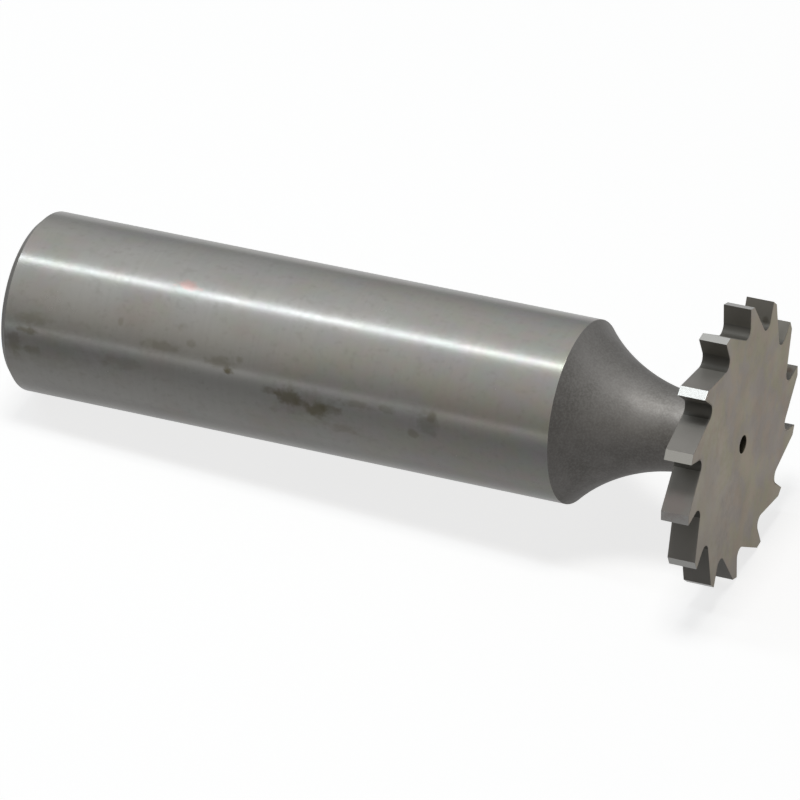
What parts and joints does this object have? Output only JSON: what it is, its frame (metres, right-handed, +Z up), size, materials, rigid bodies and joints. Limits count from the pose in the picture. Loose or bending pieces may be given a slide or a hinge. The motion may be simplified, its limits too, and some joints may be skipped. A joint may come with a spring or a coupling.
{
  "type": "woodruff keyseat cutter",
  "caption": "Keyseat cutter: a thin disc with straight side-ground teeth on a hollow-swept neck and a plain round shank, for milling half-moon key slots in shafts.",
  "frame": {"origin": "on the surface that the tool lies on, under the middle of its bounding box", "axes": "+X along the tool toward the toothed head, +Z up; at rest the tool's own axis rises toward the head by 3.6 degrees"},
  "size_m": [0.0536, 0.0194, 0.0192],
  "materials": {
    "ground_steel": "satin ground"
  },
  "bodies": {
    "root": {"keyseat_cutter": "ground_steel"}
  },
  "joints": []
}
